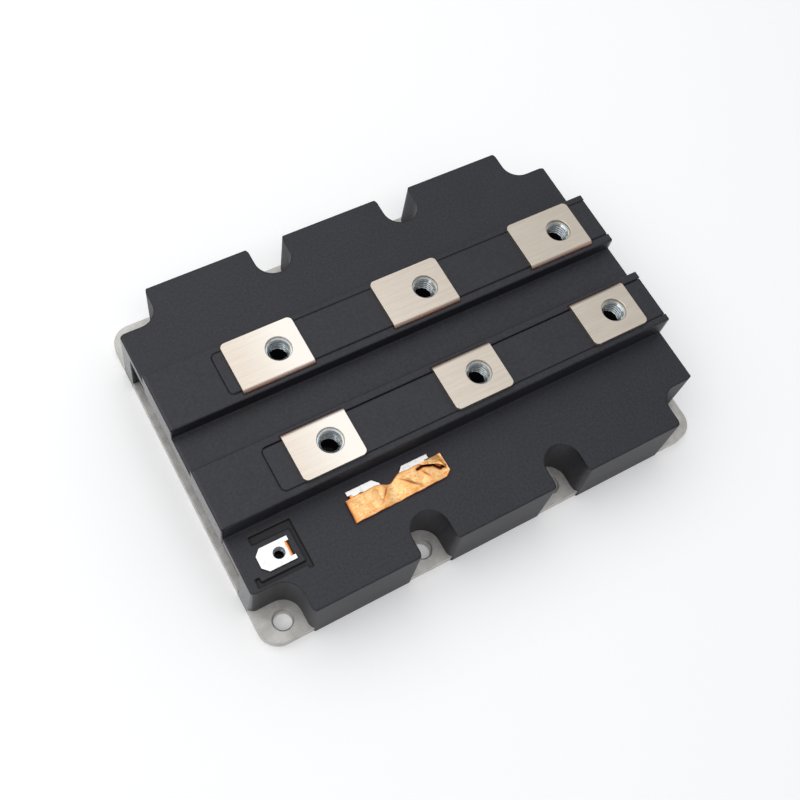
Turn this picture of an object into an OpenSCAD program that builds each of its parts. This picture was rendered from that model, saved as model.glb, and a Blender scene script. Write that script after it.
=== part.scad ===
// Single-switch IGBT power module in the 190 x 140 mm heavy-duty package.
// Origin: centre of the base plate's underside. +X runs along the long side, +Y to the
// collector row, +Z up. All sizes are in millimetres.

/* [Module] */
// Overall length along X
module_l = 190; // [180:1:240]
// Overall width along Y
module_w = 140; // [134:1:180]
// Distance from the mounting holes to the ends of the module
hole_edge_x = 9.5; // [9:0.5:12]
// Distance from the mounting holes to the long sides
hole_edge_y = 8; // [7.5:0.5:9]
// Diameter of the eight mounting holes
mount_d = 7; // [5:0.5:8]

/* [Base plate] */
// Thickness of the base plate
plate_t = 5; // [4:0.5:8]
// Radius of the four outer corners
plate_corner_r = 8; // [5:0.5:9]
// How far the ears stay inside the long sides
plate_inset = 0.5; // [0.2:0.1:1]
// Chamfer on the upper rim of a mounting hole
mount_chamfer = 0.5; // [0.2:0.1:1]

/* [Housing] */
// Height of the flat decks in front of and behind the terminal ridges
deck_h = 27; // [26:0.5:30]
// Height of the floor of the channel between the two ridges
channel_h = 30.5; // [28:0.5:34]
// Height of the two terminal ridges
ridge_h = 36.5; // [35.5:0.5:42]
// Thickness of the moulded walls
wall = 2.6; // [2:0.1:3.5]
// Clearance of the housing's lower edge above the mounting plane
foot_gap = 0.4; // [0.2:0.1:1]
// How far the outer walls lean inwards over the height of the decks
draft = 0.8; // [0.3:0.1:1.5]
// How far the ends of the ridges stay inside the ends of the module
ridge_inset = 0.3; // [0.1:0.1:0.6]
// Rounding of the upper edges
edge_r = 0.6; // [0.4:0.1:1.2]
// Half width of the bolt notches
notch_r = 7.3; // [6.5:0.1:8]
// Rounding at the mouth of a bolt notch
mouth_r = 3.4; // [2:0.1:4]
// Length of the recess in each short side
side_recess_l = 91; // [60:1:92]
// Depth of the recess in each short side, from the end of the module
side_recess = 2.7; // [1:0.1:2.8]
// Width of a ridge's rim beside the folds of the terminals
fold_rim = 1.7; // [1.4:0.1:3]
// Width of a ridge's rim beside the free edges of the terminals
free_rim = 2.7; // [2:0.1:4]

/* [Power terminals] */
// Distance between neighbouring terminals in a row
terminal_pitch = 61.5; // [55:0.5:64]
// Distance between the collector row and the emitter row
row_pitch = 40; // [40:0.5:46]
// Distance of the first terminal's hole from the middle of the module
first_terminal = 47; // [44:0.5:50]
// Thickness of the terminal sheet
tab_t = 1.5; // [1:0.1:2]
// Diameter of the hole in a terminal tab
tab_hole_d = 9.5; // [9:0.1:11]
// Length of a collector tab along X
collector_l = 28.5; // [24:0.5:32]
// Length of an emitter tab along X
emitter_l = 24.7; // [22:0.1:30]
// Distance from a terminal's hole to the end of its tab on the +X side
tab_reach = 9.7; // [8:0.1:12]
// Distance from a terminal's hole to the fold of a collector tab
collector_fold = 10.6; // [10:0.1:11]
// Distance from a terminal's hole to the free edge of a collector tab
collector_free = 10.3; // [9:0.1:11]
// Distance from a terminal's hole to the fold of an emitter tab
emitter_fold = 9.7; // [9.5:0.1:10]
// Distance from a terminal's hole to the free edge of an emitter tab
emitter_free = 10; // [9:0.1:10.5]
// Chamfer on the rim of the hole in a terminal tab
tab_chamfer = 0.3; // [0.1:0.1:0.5]
// Bend radius of the terminal sheet, outside
bend_r = 2; // [1.6:0.1:3]
// Width across the flats of the M8 nuts
nut_af = 13; // [12:0.1:14]
// Height of the M8 nuts
nut_h = 6.5; // [5:0.1:7]
// Bore of the M8 nuts over the thread crests
nut_bore_d = 6.8; // [6:0.1:7]

/* [Nut bars] */
// Width of a nut bar
bar_w = 17.6; // [17:0.1:18]
// Height of a nut bar
bar_h = 17; // [15:0.5:18]
// How far a bar runs past the outer edge of the first collector tab
bar_lead = 4.2; // [2:0.1:6]
// Bore under each nut that takes the end of the bolt
bolt_room_d = 8.6; // [8.2:0.1:9]
// Depth of the bolt room below the top of the bar
bolt_room = 15; // [12:0.5:15]

/* [Auxiliary terminals] */
// Distance of the collector sense terminal's hole from the left end of the module
sense_x = 15.5; // [13:0.5:18]
// Distance of the collector sense terminal's hole from the front of the module
sense_y = 24.4; // [22:0.2:26]
// Distance of the two driver terminals' holes from the front of the module
driver_y = 29; // [28:0.2:30]
// Distance of the gate terminal's hole from the left end of the module
gate_x = 50.7; // [46:0.2:56]
// Distance of the emitter sense terminal's hole from the left end of the module
return_x = 74; // [70:0.2:80]
// Length of an auxiliary tab
aux_l = 12.6; // [11:0.1:14]
// Width of an auxiliary tab
aux_w = 8.9; // [8:0.1:10]
// Width of an auxiliary terminal's leg
aux_leg_w = 5.4; // [4:0.1:6]
// Distance from an auxiliary terminal's hole to the outer face of its leg
aux_fold = 4.4; // [4.4:0.1:5]
// Diameter of the hole in an auxiliary tab
aux_hole_d = 4.4; // [4.2:0.1:5]
// Thickness of an auxiliary tab
aux_t = 0.8; // [0.6:0.1:1]
// Height of the upper face of an auxiliary tab above the deck
aux_rise = 1; // [1:0.1:2]
// Width across the flats of the M4 nuts
aux_nut_af = 7; // [6:0.1:7]
// Height of the M4 nuts
aux_nut_h = 3.2; // [2:0.1:3.5]
// Bore of the M4 nuts over the thread crests
aux_nut_bore_d = 3.4; // [3:0.1:3.6]

/* [Shorting foil] */
// Length of the copper foil
foil_l = 40; // [36:0.5:42]
// Width of the copper foil
foil_w = 9.2; // [8.5:0.1:9.5]
// Thickness of the folded foil
foil_t = 0.5; // [0.3:0.1:0.8]
// Angle at which the foil lies across the two tabs
foil_turn = 1.2; // [0:0.2:3]

/* [Circuit] */
// Length of a ceramic substrate along X
substrate_l = 52; // [48:1:53]
// Width of a ceramic substrate along Y
substrate_w = 47.6; // [44:0.2:48]
// Thickness of a ceramic substrate with its copper faces
substrate_t = 1.6; // [1.2:0.1:2]
// Distance between neighbouring substrates along X
substrate_pitch = 57; // [56:0.5:58]
// Side of a transistor chip
igbt_side = 13.5; // [12:0.5:14]
// Side of a diode chip
diode_side = 12; // [10:0.5:13]
// Thickness of the chips
chip_t = 0.4; // [0.2:0.1:0.6]
// Thickness of the gate board
board_t = 1.6; // [1:0.1:2]
// Height of the gate board's underside above the substrates
board_lift = 5; // [4:0.5:6]
// Depth of the silicone gel above the base plate
gel_h = 11.4; // [10:0.2:12]

/* [Housing screws] */
// Shank diameter of the housing screws
screw_d = 3.3; // [2.5:0.1:4]
// Head diameter of the housing screws
screw_head_d = 7; // [6:0.1:8]
// Length of the housing screws
screw_l = 13; // [10:0.5:16]

/* [Hidden] */
$fn = 64;
// Play between pieces that slide or drop into each other
play = 0.1;
// Play of the nut bars in their slots
slot_play = 0.2;
// How far the rounding of a notch's mouth runs past the foot of the leaning wall
mouth_out = 0.3;
far = 400;

half_l = module_l / 2;
half_w = module_w / 2;
mount_pitch = (module_l - 2 * hole_edge_x) / 3;
mount_x = [for (i = [-1.5 : 1.5]) i * mount_pitch];
mount_y = half_w - hole_edge_y;

row_y = row_pitch / 2;
terminal_x = [for (i = [0 : 2]) i * terminal_pitch - first_terminal];
bar_left = terminal_x[0] + tab_reach - collector_l - bar_lead;
bar_right = half_l - ridge_inset - 0.4;
bar_z = ridge_h - bar_h;

// Face of each bar on its lower Y side: the legs of its terminals run down beside it
collector_bar_y = row_y - collector_fold + tab_t + play;
emitter_bar_y = emitter_fold - row_y - tab_t - play - bar_w;
// Square bar that cuts the chamfer under a bend
chamfer_side = sqrt(2) * (bend_r - tab_t);

// Each ridge from its lower to its upper Y side
collector_ridge = [row_y - collector_fold - play - fold_rim, collector_bar_y + bar_w + slot_play + free_rim];
emitter_ridge = [emitter_bar_y - slot_play - free_rim, emitter_fold - row_y + play + fold_rim];

substrate_top = plate_t + substrate_t;
board_z = substrate_top + board_lift;
substrate_gap = 7;
substrate_y = (substrate_w + substrate_gap) / 2;

sense_pos = [-half_l + sense_x, -half_w + sense_y];
gate_pos = [-half_l + gate_x, -half_w + driver_y];
return_pos = [-half_l + return_x, -half_w + driver_y];
aux_end = aux_fold + 0.5;
// Each auxiliary terminal's place, and the side on which it bends down
AUX = [[sense_pos, 1], [gate_pos, -1], [return_pos, 1]];

// Housing screws: three along each long side, between the notches, and two at each end
edge_screw_in = 9;
end_screw_in = 7.5;
edge_screws = [for (i = [-1 : 1]) for (s = [-1, 1]) [i * mount_pitch, s * (half_w - edge_screw_in)]];
end_screws = [for (sx = [-1, 1]) for (sy = [-1, 1]) [sx * (half_l - end_screw_in), sy * 34]];
screw_at = concat(edge_screws, end_screws);
boss_web = 3;
boss_d = 8;
boss_h = 12;

// ---- shared shapes -------------------------------------------------------------------

// Rectangle between two opposite corners
module area(x0, y0, x1, y1) translate([x0, y0]) square([x1 - x0, y1 - y0]);

// What a rounding of radius r takes off a convex corner at p that points to (sx, sy)
module corner_waste(p, r, sx, sy) translate([p[0] - sx * r, p[1] - sy * r]) mirror([sx < 0 ? 1 : 0, 0])
    mirror([0, sy < 0 ? 1 : 0]) difference() {
        square(r + 1);
        circle(r);
    }

module four_corners() for (sx = [0, 1]) for (sy = [0, 1]) mirror([sx, 0]) mirror([0, sy]) children();

module hex(af, h) cylinder(d = af / cos(30), h = h, $fn = 6);

// Profile drawn in Y and Z, run along the whole length of the module
module along_x(length) translate([-length / 2, 0, 0]) rotate([90, 0, 90]) linear_extrude(length) children();

// ---- base plate ----------------------------------------------------------------------

// Everything that the plate covers: its core inside the housing's skirt, the strips under the
// short sides, and the eight ears
module plate_plan(grow = 0) {
    core_x = half_l - wall - play;
    core_y = half_w - wall - play;
    ear = notch_r + mouth_r / 2;
    area(-core_x - grow, -core_y - grow, core_x + grow, core_y + grow);
    area(-half_l - grow, play - side_recess_l / 2 - grow, half_l + grow, side_recess_l / 2 - play + grow);
    four_corners() {
        difference() {
            area(mount_x[3] - ear - grow, mount_y - ear - grow, half_l + grow, half_w - plate_inset + grow);
            corner_waste([half_l + grow, half_w - plate_inset + grow], plate_corner_r + grow, 1, 1);
        }
        area(mount_x[2] - ear - grow, 0, mount_x[2] + ear + grow, half_w - plate_inset + grow);
    }
}

module base_plate() color("#b9b4ab") difference() {
    linear_extrude(plate_t) plate_plan();
    for (x = mount_x) for (sy = [-1, 1]) translate([x, sy * mount_y, -1]) {
        cylinder(d = mount_d, h = plate_t + 2);
        translate([0, 0, plate_t + 1 - mount_chamfer])
            cylinder(d1 = mount_d, d2 = mount_d + 2 * mount_chamfer + 0.2, h = mount_chamfer + 0.1);
    }
    for (p = screw_at) translate([p[0], p[1], 0]) screw_space(play);
}

// ---- housing -------------------------------------------------------------------------

// How far the outer walls have leaned inwards at height z
function lean(z) = draft * (z - foot_gap) / (deck_h - foot_gap);

// Plan of the decks: a notch over each mounting hole, rounded at its mouth
module deck_plan() difference() {
    square(2 * far, center = true);
    four_corners() {
        translate([mount_x[2], mount_y]) circle(notch_r);
        area(mount_x[2] - notch_r, mount_y, mount_x[2] + notch_r, far);
        corner_waste([mount_x[2] - notch_r, half_w + mouth_out], mouth_r, 1, 1);
        corner_waste([mount_x[2] + notch_r, half_w + mouth_out], mouth_r, -1, 1);
        translate([mount_x[3], mount_y]) circle(notch_r);
        area(mount_x[3] - notch_r, mount_y, far, far);
        area(mount_x[3], mount_y - notch_r, far, far);
        corner_waste([mount_x[3] - notch_r, half_w + mouth_out], mouth_r, 1, 1);
        corner_waste([half_l + mouth_out, mount_y - notch_r], mouth_r, 1, 1);
    }
}

// Cross-section of the decks: leaning walls, rounded upper edges
module deck_section(half) difference() {
    round_x = half - lean(deck_h - edge_r);
    polygon([[-half, foot_gap], [half, foot_gap], [half - draft, deck_h], [draft - half, deck_h]]);
    corner_waste([round_x, deck_h], edge_r, 1, 1);
    corner_waste([-round_x, deck_h], edge_r, -1, 1);
}

module ridge_section(ridge) difference() {
    area(ridge[0], channel_h - 10, ridge[1], ridge_h);
    corner_waste([ridge[0], ridge_h], edge_r, -1, 1);
    corner_waste([ridge[1], ridge_h], edge_r, 1, 1);
}

// Outer body: the decks, the two ridges and the channel floor between them
module shell_body() {
    intersection() {
        along_x(2 * far) deck_section(half_w);
        rotate([90, 0, 0]) translate([0, 0, -far]) linear_extrude(2 * far) deck_section(half_l);
        linear_extrude(deck_h + 1) deck_plan();
    }
    along_x(module_l - 2 * ridge_inset) {
        ridge_section(collector_ridge);
        ridge_section(emitter_ridge);
        area(emitter_ridge[1] - 1, channel_h - 10, collector_ridge[0] + 1, channel_h);
    }
}

// Inner cross-section, one wall inside the outer one
module room_section() {
    inner_y = half_w - wall;
    top_y = inner_y - draft;
    polygon([[-inner_y, -1], [inner_y, -1], [top_y, deck_h - wall], [-top_y, deck_h - wall]]);
    area(emitter_ridge[0] + wall, 0, collector_ridge[1] - wall, channel_h - wall);
    for (ridge = [emitter_ridge, collector_ridge]) area(ridge[0] + wall, 0, ridge[1] - wall, ridge_h - wall);
}

module room_plan() {
    inner_x = half_l - side_recess - wall;
    difference() {
        square([2 * inner_x, module_w], center = true);
        four_corners() {
            translate([mount_x[3], mount_y]) circle(notch_r + wall);
            area(mount_x[3], mount_y - notch_r - wall, far, far);
            area(mount_x[3] - notch_r - wall, mount_y, far, far);
            translate([mount_x[2], mount_y]) circle(notch_r + wall);
            area(mount_x[2] - notch_r - wall, mount_y, mount_x[2] + notch_r + wall, far);
        }
    }
}

// Block under each ridge that the nut bar slides into from the right
module trough(y0) translate([bar_left - wall, y0 - wall, bar_z - wall]) cube([far, bar_w + 2 * wall, far]);

// Screw boss, joined to the long wall by a web
module boss(p) translate([p[0], p[1], plate_t]) {
    cylinder(d = boss_d, h = boss_h);
    if (abs(p[1]) > half_w / 2) mirror([0, p[1] < 0 ? 1 : 0, 0])
        translate([-boss_web / 2, 0, 0]) cube([boss_web, edge_screw_in - 1, boss_h]);
}

module room() intersection() {
    along_x(module_l) room_section();
    translate([0, 0, -1]) linear_extrude(ridge_h) room_plan();
    difference() {
        translate([-far, -far, -1]) cube(2 * far);
        for (y0 = [collector_bar_y, emitter_bar_y]) trough(y0);
        for (p = screw_at) boss(p);
        for (a = AUX) translate([a[0][0], a[0][1], deck_h - aux_socket_h])
            cylinder(d = aux_socket_d, h = far);
    }
}

module bar_plan(y0, grow) {
    r = 2 + grow;
    difference() {
        area(bar_left - grow, y0 - grow, bar_right, y0 + bar_w + grow);
        corner_waste([bar_left - grow, y0 - grow], r, -1, -1);
        corner_waste([bar_left - grow, y0 + bar_w + grow], r, -1, 1);
    }
}

// Way for the legs of one row, from the bar's slot to just outside the fold
module leg_slots(y, side, length, fold) for (x = terminal_x)
    translate([x + tab_reach - length - play, y, 0]) mirror([0, side < 0 ? 1 : 0, 0])
        translate([0, fold - tab_t - 1, 0]) cube([length + 2 * play, tab_t + play + 1, far]);

aux_socket_d = 11;
aux_socket_h = 9;
aux_bolt_d = 4.4;
aux_bolt_room = 7;

module aux_socket(p) translate([p[0], p[1], 0]) {
    translate([0, 0, deck_h + aux_rise - aux_t - aux_nut_h - play]) aux_hex(aux_nut_af + 2 * play, far);
    translate([0, 0, deck_h - aux_bolt_room]) cylinder(d = aux_bolt_d, h = far);
}

module aux_hex(af, h) rotate(30) hex(af, h);

// Low pad that carries an auxiliary tab
module aux_pad(p, side) translate([p[0], p[1], deck_h - 1]) mirror([side < 0 ? 1 : 0, 0, 0])
    translate([aux_end - aux_l + 1, 0.6 - aux_w / 2, 0])
        cube([aux_fold - aux_t - play - aux_end + aux_l - 1, aux_w - 1.2, aux_rise - aux_t + 1]);

module aux_leg_slot(p, side) translate([p[0], p[1], -1]) mirror([side < 0 ? 1 : 0, 0, 0])
    translate([aux_fold - aux_t - play, -aux_leg_w / 2 - play, 0])
        cube([aux_t + 2 * play, aux_leg_w + 2 * play, far]);

module side_recesses() for (s = [0, 1]) mirror([s, 0, 0])
    translate([half_l - side_recess, -side_recess_l / 2, -1]) cube([far, side_recess_l, deck_h - 3]);

// Groove that outlines the sense terminal's seat: back, right, front and a square at its left end
module seat_groove() translate([sense_pos[0], sense_pos[1], deck_h - groove_depth]) linear_extrude(far) {
    right = 7.1;
    back = 6.8;
    front = -6.2;
    area(-6.9, back, right, back + 3);
    area(right, front - 3, right + groove_w, back + 3);
    area(-11.3, front - groove_w, right, front);
    area(-11.3, front - groove_w, groove_w - 11.3, front + groove_w);
}

groove_w = 1.7;
groove_depth = 1.3;

module housing() color("#3a3b3f") difference() {
    union() {
        shell_body();
        for (a = AUX) aux_pad(a[0], a[1]);
    }
    room();
    side_recesses();
    translate([0, 0, -1]) linear_extrude(plate_t + 1) plate_plan(play);
    for (y0 = [collector_bar_y, emitter_bar_y]) translate([0, 0, bar_z]) linear_extrude(far) {
        bar_plan(y0, slot_play);
        area(bar_right - 1, y0 - slot_play, far, y0 + bar_w + slot_play);
    }
    leg_slots(row_y, -1, collector_l, collector_fold);
    leg_slots(-row_y, 1, emitter_l, emitter_fold);
    for (a = AUX) {
        aux_socket(a[0]);
        aux_leg_slot(a[0], a[1]);
    }
    seat_groove();
    for (p = screw_at) translate([p[0], p[1], 0]) cylinder(d = screw_d + play, h = screw_l + 1);
}

// ---- nut bars ------------------------------------------------------------------------

// Bar with a socket for each nut; its upper edge is chamfered where the terminals bend over it
module nut_bar(y, y0, bend_y) color("#35363a") difference() {
    translate([0, 0, bar_z]) linear_extrude(bar_h) bar_plan(y0, 0);
    for (x = terminal_x) translate([x, y, ridge_h]) {
        translate([0, 0, -nut_h - play]) hex(nut_af + 2 * play, far);
        translate([0, 0, -bolt_room]) cylinder(d = bolt_room_d, h = far);
    }
    translate([bar_left - 1, bend_y, ridge_h]) rotate([45, 0, 0])
        translate([0, -chamfer_side / 2, -chamfer_side / 2]) cube([far, chamfer_side, chamfer_side]);
}

module collector_nut_bar() nut_bar(row_y, collector_bar_y, collector_bar_y);
module emitter_nut_bar() nut_bar(-row_y, emitter_bar_y, emitter_bar_y + bar_w);

// ---- power terminals -----------------------------------------------------------------

// Bent sheet with its hole at the origin of its plan and its fold on the side given by side
module power_terminal(at, side, length, free, fold) translate([at[0], at[1], 0]) {
    x0 = tab_reach - length;
    z0 = ridge_h;
    z1 = ridge_h + tab_t;
    foot_z = substrate_top;
    mirror([0, side > 0 ? 1 : 0, 0]) {
        difference() {
            translate([x0, 0, 0]) rotate([90, 0, 90]) linear_extrude(length) difference() {
                union() {
                    area(-fold + bend_r, z0, free, z1);
                    area(-fold, foot_z, tab_t - fold, z1 - bend_r);
                    translate([bend_r - fold, z1 - bend_r]) intersection() {
                        difference() {
                            circle(bend_r);
                            circle(bend_r - tab_t);
                        }
                        area(-bend_r, 0, 0, bend_r);
                    }
                }
            }
            translate([0, 0, z0 - 1]) cylinder(d = tab_hole_d, h = tab_t + 2);
            translate([0, 0, z1 - tab_chamfer])
                cylinder(d1 = tab_hole_d, d2 = tab_hole_d + 2 * tab_chamfer + 0.2, h = tab_chamfer + 0.1);
            for (p = [[x0, -1], [tab_reach, 1]]) translate([0, 0, z0 - 1]) linear_extrude(tab_t + 2)
                corner_waste([p[0], free], 2, p[1], 1);
            translate([x0 - 1, -fold - 1, foot_z - 1]) cube([3.5, tab_t + 2, bar_z - foot_z + 1]);
            translate([tab_reach - 2.5, -fold - 1, foot_z - 1]) cube([3.5, tab_t + 2, bar_z - foot_z + 1]);
        }
        feet(x0 + 2.5, tab_reach - 2.5, fold, foot_z, side);
    }
}

// Two feet on the substrates: one under the bar, one across the gap to the other row. The
// crossing feet of the two rows lie side by side, so they never meet.
module feet(x0, x1, fold, z, side) {
    width = (x1 - x0) / 2 - 1;
    near_x = side > 0 ? x0 : x1 - width;
    cross_x = side > 0 ? x1 - width : x0;
    cross_l = row_y - fold + substrate_gap / 2 + 3;
    translate([near_x, tab_t - fold, z]) cube([width, 6, tab_t]);
    translate([cross_x, -fold - cross_l, z]) cube([width, cross_l, tab_t]);
}

module collector_terminal(i) color("#cfc4b4")
    power_terminal([terminal_x[i], row_y], -1, collector_l, collector_free, collector_fold);
module emitter_terminal(i) color("#cfc4b4")
    power_terminal([terminal_x[i], -row_y], 1, emitter_l, emitter_free, emitter_fold);

module power_nut(x, y) color("#aeb6bd") translate([x, y, ridge_h - nut_h]) difference() {
    intersection() {
        hex(nut_af, nut_h);
        union() {
            cylinder(d1 = nut_af, d2 = nut_af + 6, h = 1.5);
            translate([0, 0, 1.5]) cylinder(d = nut_af + 6, h = nut_h);
        }
    }
    translate([0, 0, -1]) cylinder(d = nut_bore_d, h = nut_h + 2);
    translate([0, 0, nut_h - 0.9]) cylinder(d1 = nut_bore_d, d2 = nut_bore_d + 2, h = 1);
}

// ---- auxiliary terminals -------------------------------------------------------------

// Small tinned tab. Its leg is narrower than the tab, bends down on the side given by side and
// runs to the gate board; a scored line marks the start of the bend.
module aux_tab(p, side) color("#e4e4e2") translate([p[0], p[1], 0]) mirror([side < 0 ? 1 : 0, 0, 0]) {
    z1 = deck_h + aux_rise;
    left = aux_end - aux_l;
    clip = 2.2;
    score = aux_fold - aux_t - 0.2;
    difference() {
        union() {
            translate([0, 0, z1 - aux_t]) linear_extrude(aux_t) difference() {
                polygon([[left, clip - aux_w / 2], [left + clip, -aux_w / 2], [aux_end, -aux_w / 2],
                    [aux_end, aux_w / 2], [left + clip, aux_w / 2], [left, aux_w / 2 - clip]]);
                area(score, -aux_leg_w / 2 - play, far, aux_leg_w / 2 + play);
            }
            translate([0, aux_leg_w / 2, 0]) rotate([90, 0, 0]) linear_extrude(aux_leg_w) difference() {
                union() {
                    area(score, z1 - aux_t, aux_fold, z1);
                    area(aux_fold - aux_t, board_z + board_t, aux_fold, z1);
                }
                corner_waste([aux_fold, z1], aux_t, 1, 1);
            }
        }
        translate([0, 0, z1 - aux_t - 1]) cylinder(d = aux_hole_d, h = aux_t + 2);
        translate([score - 0.3, -aux_leg_w / 2 - play, z1 - 0.25]) cube([0.3, aux_leg_w + 2 * play, 1]);
    }
}

module aux_nut(p) color("#aeb6bd") translate([p[0], p[1], deck_h + aux_rise - aux_t - aux_nut_h])
    difference() {
        aux_hex(aux_nut_af, aux_nut_h);
        translate([0, 0, -1]) cylinder(d = aux_nut_bore_d, h = aux_nut_h + 2);
        translate([0, 0, aux_nut_h - 0.5]) cylinder(d1 = aux_nut_bore_d, d2 = aux_nut_bore_d + 1.2, h = 0.6);
    }

// Copper foil laid over the gate and emitter sense tabs, its far end folded back over itself
module shorting_foil() color("#c9814a") {
    l = foil_l;
    w = foil_w;
    translate([gate_pos[0] - 6.7, gate_pos[1] - 7.3, deck_h + aux_rise]) rotate([0, 0, foil_turn]) {
        linear_extrude(foil_t / 2) polygon([[0, 0], [l - 2.6, 0], [l, 1.9], [l - 0.4, w],
            [l / 2 + 1.6, w - 0.3], [l / 2 - 2.4, w - 1.4], [l / 2 - 5.4, w + 0.3], [0.4, w]]);
        linear_extrude(foil_t) polygon([[l - 0.6, 3.4], [l - 1, w - 0.4], [l - 10, w - 0.4],
            [l - 11, w - 2.4], [l - 8.5, w - 2.2], [l - 5, w - 3.6], [l - 3.3, w - 6.2], [l - 1.4, w - 5.8]]);
    }
}

// ---- circuit -------------------------------------------------------------------------

function substrate_at(i) = [(i % 3 - 1) * substrate_pitch, (i < 3 ? 1 : -1) * substrate_y];

module substrate(i) color("#d8dcd6") {
    p = substrate_at(i);
    translate([p[0] - substrate_l / 2, p[1] - substrate_w / 2, plate_t])
        cube([substrate_l, substrate_w, substrate_t]);
}

module chip(p, side) translate([p[0] - side / 2, p[1] - side / 2, substrate_top]) cube([side, side, chip_t]);

module igbt_chips() color("#8d9096") for (i = [0 : 5]) for (dx = [-1, 1]) for (k = [0, 1]) {
    p = substrate_at(i);
    s = i < 3 ? 1 : -1;
    chip([p[0] + dx * 17, p[1] + s * (k * 17 - 2)], igbt_side);
}

module diode_chips() color("#767a80") for (i = [0 : 5]) for (k = [0, 1]) {
    p = substrate_at(i);
    s = i < 3 ? 1 : -1;
    chip([p[0], p[1] + s * (k * 17 - 2)], diode_side);
}

board_x = half_l - end_screw_in - boss_d / 2 - 1;
board_y = [notch_r + wall + 1 - mount_y, -17];

module gate_board() color("#2f6a3c") difference() {
    translate([0, 0, board_z]) linear_extrude(board_t) area(-board_x, board_y[0], board_x, board_y[1]);
    for (p = pin_at) translate([p[0], p[1], board_z - 1]) cylinder(d = pin_d, h = board_t + 2);
}

pin_d = 1.2;
pin_at = [for (i = [3 : 5]) for (dx = [-25, -9, 9, 25]) [substrate_at(i)[0] + dx, substrate_at(i)[1] + 7.6]];

module board_pins() color("#d9c27a") for (p = pin_at) translate([p[0], p[1], substrate_top])
    cylinder(d = pin_d, h = board_lift + board_t, $fn = 24);

module silicone_gel() color("#dfe6ea", 0.5) difference() {
    intersection() {
        translate([0, 0, plate_t]) linear_extrude(gel_h) room_plan();
        along_x(module_l) room_section();
    }
    for (i = [0 : 5]) substrate(i);
    igbt_chips();
    diode_chips();
    gate_board();
    board_pins();
    for (i = [0 : 2]) {
        collector_terminal(i);
        emitter_terminal(i);
    }
    for (a = AUX) aux_tab(a[0], a[1]);
    for (p = screw_at) boss(p);
    for (y0 = [collector_bar_y, emitter_bar_y]) trough(y0);
}

// ---- housing screws ------------------------------------------------------------------

module screw_space(grow) {
    depth = (screw_head_d - screw_d) / 2;
    translate([0, 0, -0.01]) cylinder(d1 = screw_head_d + 2 * grow, d2 = screw_d + 2 * grow, h = depth);
    cylinder(d = screw_d + 2 * grow, h = plate_t + 1);
}

module housing_screws() color("#9aa0a6") for (p = screw_at) translate([p[0], p[1], 0]) {
    depth = (screw_head_d - screw_d) / 2;
    cylinder(d1 = screw_head_d, d2 = screw_d, h = depth);
    cylinder(d = screw_d, h = screw_l);
}

// ---- nodes ---------------------------------------------------------------------------

base_plate();
housing();
collector_nut_bar();
emitter_nut_bar();
collector_terminal(0);  // collector_terminal_1
collector_terminal(1);  // collector_terminal_2
collector_terminal(2);  // collector_terminal_3
emitter_terminal(0);  // emitter_terminal_1
emitter_terminal(1);  // emitter_terminal_2
emitter_terminal(2);  // emitter_terminal_3
power_nut(terminal_x[0], row_y);  // collector_nut_1
power_nut(terminal_x[1], row_y);  // collector_nut_2
power_nut(terminal_x[2], row_y);  // collector_nut_3
power_nut(terminal_x[0], -row_y);  // emitter_nut_1
power_nut(terminal_x[1], -row_y);  // emitter_nut_2
power_nut(terminal_x[2], -row_y);  // emitter_nut_3
aux_tab(sense_pos, 1);  // collector_sense_tab
aux_tab(gate_pos, -1);  // gate_tab
aux_tab(return_pos, 1);  // emitter_sense_tab
aux_nut(sense_pos);  // collector_sense_nut
aux_nut(gate_pos);  // gate_nut
aux_nut(return_pos);  // emitter_sense_nut
shorting_foil();
substrate(0);  // substrate_1
substrate(1);  // substrate_2
substrate(2);  // substrate_3
substrate(3);  // substrate_4
substrate(4);  // substrate_5
substrate(5);  // substrate_6
igbt_chips();
diode_chips();
gate_board();
board_pins();
silicone_gel();
housing_screws();
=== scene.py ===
"""Looks of a heavy-duty power module: finishes, cut threads, crumpled copper foil, studio.

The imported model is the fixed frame. The sub-assemblies dress it, and add the pieces whose form
is finer than the frame's: the threads of the nuts and the shorting foil. Lengths are in metres
in the frame and the studio; the finishes and the pieces' own sizes are in millimetres.
"""

from __future__ import annotations

import logging
import math
from dataclasses import dataclass, field
from enum import Enum
from typing import Any, Callable, Iterable, Iterator, Sequence

import bmesh
import bpy
from mathutils import Matrix, Vector, noise


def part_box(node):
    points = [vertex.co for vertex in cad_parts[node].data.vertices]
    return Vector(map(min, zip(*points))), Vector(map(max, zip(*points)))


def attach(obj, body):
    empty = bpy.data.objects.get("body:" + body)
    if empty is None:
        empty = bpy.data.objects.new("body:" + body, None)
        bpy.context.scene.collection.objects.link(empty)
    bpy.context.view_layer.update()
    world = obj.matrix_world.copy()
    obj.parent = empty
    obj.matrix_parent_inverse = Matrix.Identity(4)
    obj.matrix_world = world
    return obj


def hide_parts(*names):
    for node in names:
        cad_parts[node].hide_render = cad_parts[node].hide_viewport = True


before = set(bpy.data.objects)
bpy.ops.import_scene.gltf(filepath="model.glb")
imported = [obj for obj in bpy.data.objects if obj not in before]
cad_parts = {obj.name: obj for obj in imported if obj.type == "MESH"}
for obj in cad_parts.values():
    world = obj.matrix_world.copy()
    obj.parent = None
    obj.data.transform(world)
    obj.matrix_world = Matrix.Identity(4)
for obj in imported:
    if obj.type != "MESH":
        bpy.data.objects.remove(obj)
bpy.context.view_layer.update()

LOG = logging.getLogger("power_module")
MM = 0.001
BODY = "root"

# Numbers that the meshes carry at their points, for the finishes
# How much painted shade a nut's thread has at a point
GROOVE_SHADE = "groove"
# How dark the foil is: painted shade along its long edges, darker creases, and painted shadow along the
# flap's torn edge
SHADE_AND_CREASES = "crease"
BORE = "bore"

Colour = tuple[float, float, float]


# ---- node trees --------------------------------------------------------------------------


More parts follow.
